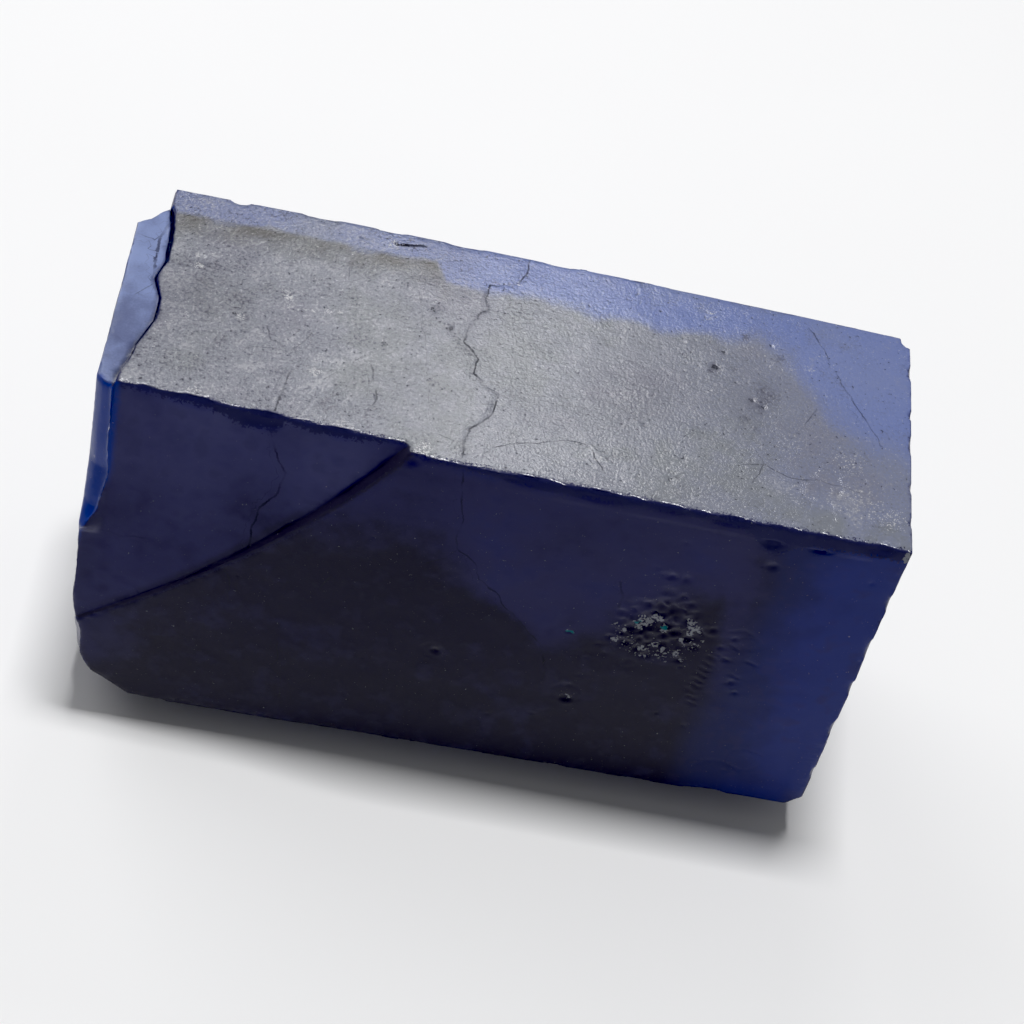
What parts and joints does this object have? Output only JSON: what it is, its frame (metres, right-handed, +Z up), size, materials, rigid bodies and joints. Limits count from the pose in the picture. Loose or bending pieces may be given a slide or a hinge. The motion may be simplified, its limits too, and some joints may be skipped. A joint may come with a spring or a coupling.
{
  "type": "rough tanzanite",
  "caption": "Blocky rough tanzanite crystal with worn flat faces, a diagonal ledge across the front, an open crack and a flake at one end, and chipped edges.",
  "frame": {"origin": "middle of the flat patch on the bulging underside that the piece rests on", "axes": "+X along the piece's length towards its whole end, -Y out of the front with the diagonal ledge, +Z up"},
  "size_m": [0.0647, 0.025, 0.0391],
  "materials": {
    "tanzanite": "deep violet blue translucent crystal, matt where worn and glassy where freshly broken"
  },
  "bodies": {
    "root": {"tanzanite": "tanzanite"}
  },
  "joints": []
}
